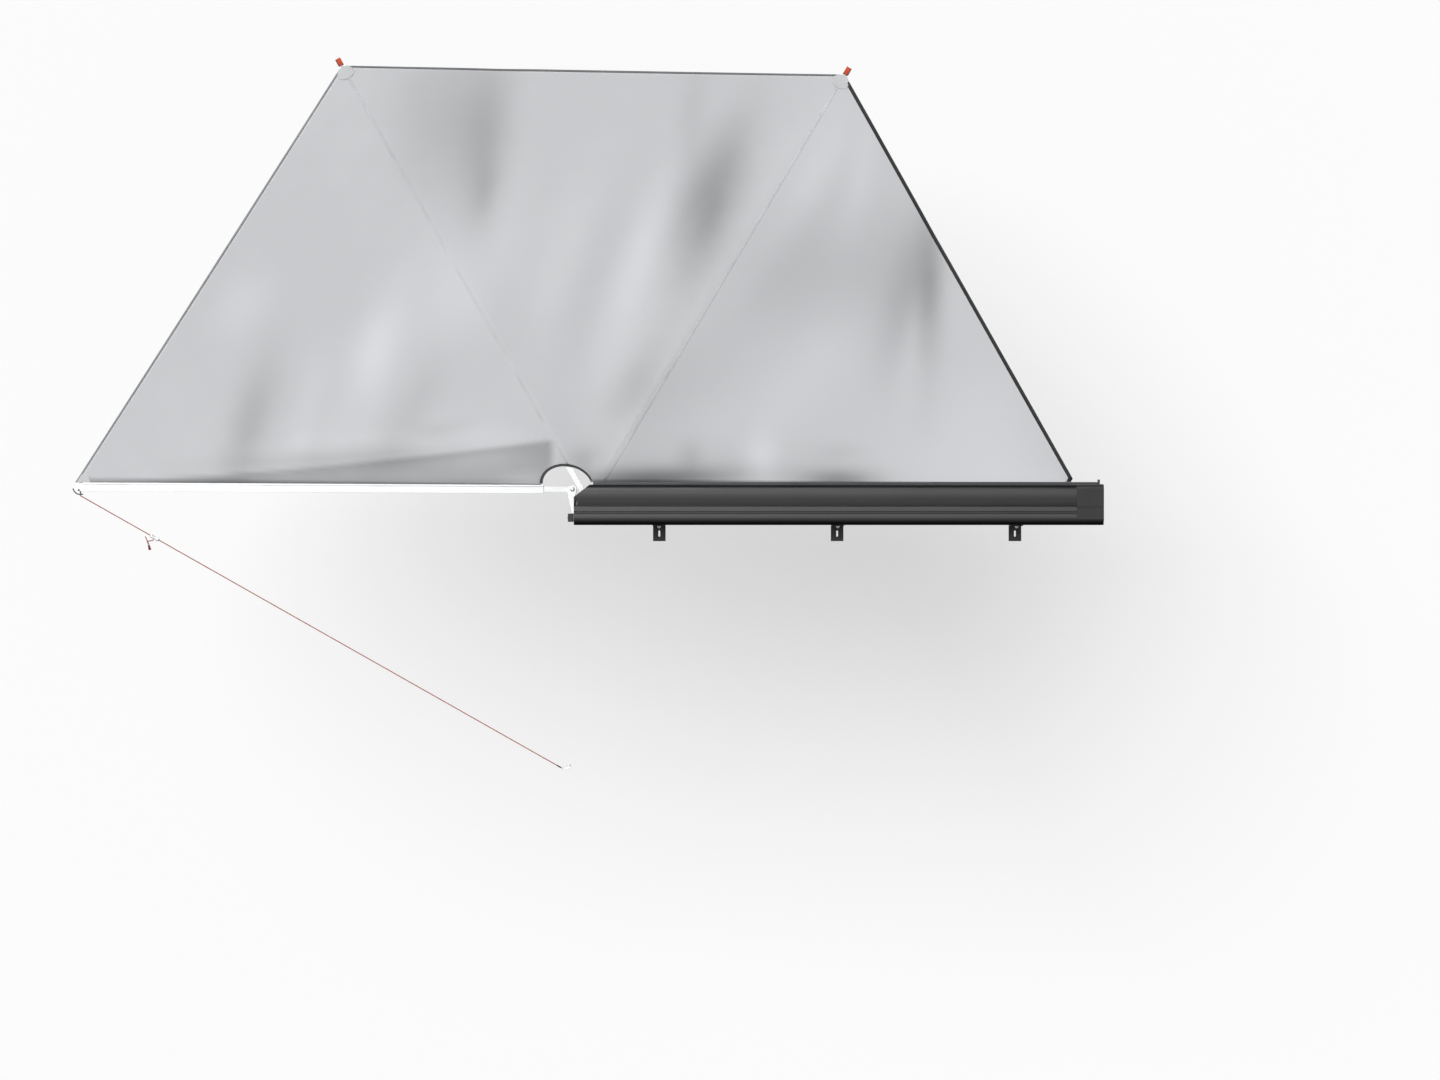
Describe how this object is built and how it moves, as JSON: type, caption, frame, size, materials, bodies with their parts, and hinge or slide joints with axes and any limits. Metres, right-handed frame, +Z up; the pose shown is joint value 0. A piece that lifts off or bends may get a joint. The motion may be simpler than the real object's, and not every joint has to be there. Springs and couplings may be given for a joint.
{
  "type": "vehicle side awning",
  "caption": "Fan awning in a ribbed case for the side of a roof rack: swinging arms with fold-down telescopic legs, a stretched canopy and a guy line.",
  "frame": {"origin": "middle of the flat land on the case's back plate, which lies against the roof rack", "axes": "+X along the vehicle to its front, +Y away from the vehicle, +Z up"},
  "size_m": [4.8874, 3.3762, 0.188],
  "materials": {
    "case_alloy": "powder coat, dark grey, fine texture",
    "black_fittings": "moulded plastic, black",
    "rail_alloy": "anodised, light grey",
    "flap_vinyl": "coated cloth, charcoal, rolled",
    "plated_steel": "zinc plated",
    "arm_alloy": "bright satin anodised",
    "leg_alloy": "satin anodised tube",
    "bush_nylon": "natural nylon",
    "tab_webbing": "woven webbing, orange red",
    "clamp_plastic": "glass filled nylon, black",
    "foot_rubber": "moulded rubber, black",
    "canopy_cloth": "coated ripstop cloth, silver grey, satin",
    "guy_rope": "braided cord, red",
    "bright_steel": "bright plated",
    "dark_steel": "dark grey coated steel wire",
    "pull_leather": "stitched pull, dark red"
  },
  "bodies": {
    "case": {"back_plate": "case_alloy", "top_cover": "case_alloy", "end_cap_front": "black_fittings", "end_cap_rear": "black_fittings", "canopy_rail": "rail_alloy", "closing_flap": "flap_vinyl", "rack_bracket_1": "black_fittings", "rack_bracket_2": "black_fittings", "rack_bracket_3": "black_fittings", "bracket_bolt_1": "plated_steel", "bracket_bolt_2": "plated_steel", "bracket_bolt_3": "plated_steel", "hub_plate_upper": "arm_alloy", "hub_plate_lower": "arm_alloy", "pivot_pin_d": "plated_steel", "pivot_pin_a": "plated_steel", "pivot_pin_b": "plated_steel", "hub_bolt_1": "plated_steel", "hub_bolt_2": "plated_steel", "canopy_front": "canopy_cloth"},
    "arm_d": {"arm_d_link": "arm_alloy", "arm_d_bush": "bush_nylon", "arm_d_channel": "arm_alloy", "arm_d_tip": "arm_alloy", "leg_d_pin": "plated_steel"},
    "leg_d_upper": {"leg_d_tube": "leg_alloy", "leg_d_clamp": "clamp_plastic"},
    "leg_d_lower": {"leg_d_stage": "leg_alloy", "leg_d_foot": "foot_rubber"},
    "leg_d_lock": {"leg_d_lever": "clamp_plastic"},
    "arm_a": {"arm_a_link": "arm_alloy", "arm_a_bush": "bush_nylon", "arm_a_channel": "arm_alloy", "arm_a_tip": "arm_alloy", "leg_a_pin": "plated_steel", "pull_tab_a": "tab_webbing", "canopy_rear": "canopy_cloth"},
    "leg_a_upper": {"leg_a_tube": "leg_alloy", "leg_a_clamp": "clamp_plastic"},
    "leg_a_lower": {"leg_a_stage": "leg_alloy", "leg_a_foot": "foot_rubber"},
    "leg_a_lock": {"leg_a_lever": "clamp_plastic"},
    "arm_b": {"arm_b_link": "arm_alloy", "arm_b_bush": "bush_nylon", "arm_b_channel": "arm_alloy", "arm_b_tip": "arm_alloy", "leg_b_pin": "plated_steel", "pull_tab_b": "tab_webbing", "canopy_middle": "canopy_cloth"},
    "leg_b_upper": {"leg_b_tube": "leg_alloy", "leg_b_clamp": "clamp_plastic"},
    "leg_b_lower": {"leg_b_stage": "leg_alloy", "leg_b_foot": "foot_rubber"},
    "leg_b_lock": {"leg_b_lever": "clamp_plastic"},
    "guy_line": {"guy_tip_hook": "dark_steel", "guy_rope": "guy_rope", "guy_tensioner": "bright_steel", "guy_snap_hook": "bright_steel", "guy_tail": "guy_rope", "guy_pull": "pull_leather"}
  },
  "joints": [
    {"name": "arm_d_swing", "type": "hinge", "parent": "case", "child": "arm_d", "pos_m": [-1.258, 0.169, 0], "axis": [0, 0, -1], "range_deg": [0, 179.7], "deforming": ["canopy_rear"]},
    {"name": "arm_a_swing", "type": "hinge", "parent": "case", "child": "arm_a", "pos_m": [-1.192, 0.126, 0], "axis": [0, 0, -1], "range_deg": [0, 119.5], "deforming": ["canopy_middle"]},
    {"name": "arm_b_swing", "type": "hinge", "parent": "case", "child": "arm_b", "pos_m": [-1.18, 0.083, 0], "axis": [0, 0, -1], "range_deg": [0, 59.4], "deforming": ["canopy_front"]},
    {"name": "leg_d_fold", "type": "hinge", "parent": "arm_d", "child": "leg_d_upper", "pos_m": [-3.53597, 0.18093, 0], "axis": [0.0052, 1, 0], "range_deg": [0, 90]},
    {"name": "leg_d_extend", "type": "slide", "parent": "leg_d_upper", "child": "leg_d_lower", "axis": [1, -0.0052, 0], "range_m": [0, 0.81]},
    {"name": "leg_d_lock", "type": "hinge", "parent": "leg_d_upper", "child": "leg_d_lock", "pos_m": [-2.41498, 0.17506, -0.017], "axis": [-0.0052, -1, 0], "range_deg": [0, 110]},
    {"name": "leg_a_fold", "type": "hinge", "parent": "arm_a", "child": "leg_a_upper", "pos_m": [-2.31374, 2.10867, 0], "axis": [0.8704, 0.4924, 0], "range_deg": [0, 90]},
    {"name": "leg_a_extend", "type": "slide", "parent": "leg_a_upper", "child": "leg_a_lower", "axis": [0.4924, -0.8704, 0], "range_m": [0, 0.81]},
    {"name": "leg_a_lock", "type": "hinge", "parent": "leg_a_upper", "child": "leg_a_lock", "pos_m": [-1.76173, 1.133, -0.017], "axis": [-0.8704, -0.4924, 0], "range_deg": [0, 110]},
    {"name": "leg_b_fold", "type": "hinge", "parent": "arm_b", "child": "leg_b_upper", "pos_m": [-0.00666, 2.06701, 0], "axis": [0.8607, -0.509, 0], "range_deg": [0, 90]},
    {"name": "leg_b_extend", "type": "slide", "parent": "leg_b_upper", "child": "leg_b_lower", "axis": [-0.509, -0.8607, 0], "range_m": [0, 0.81]},
    {"name": "leg_b_lock", "type": "hinge", "parent": "leg_b_upper", "child": "leg_b_lock", "pos_m": [-0.5773, 1.10212, -0.017], "axis": [-0.8607, 0.509, 0], "range_deg": [0, 110]},
    {"name": "guy_swing", "type": "hinge", "parent": "arm_d", "child": "guy_line", "pos_m": [-3.59897, 0.18126, 0], "axis": [0, 0, -1], "range_deg": [0, 80]}
  ],
  "couplings": [
    {"joint": "arm_a_swing", "follows": "arm_d_swing", "ratio": 0.665},
    {"joint": "arm_b_swing", "follows": "arm_d_swing", "ratio": 0.33055}
  ]
}
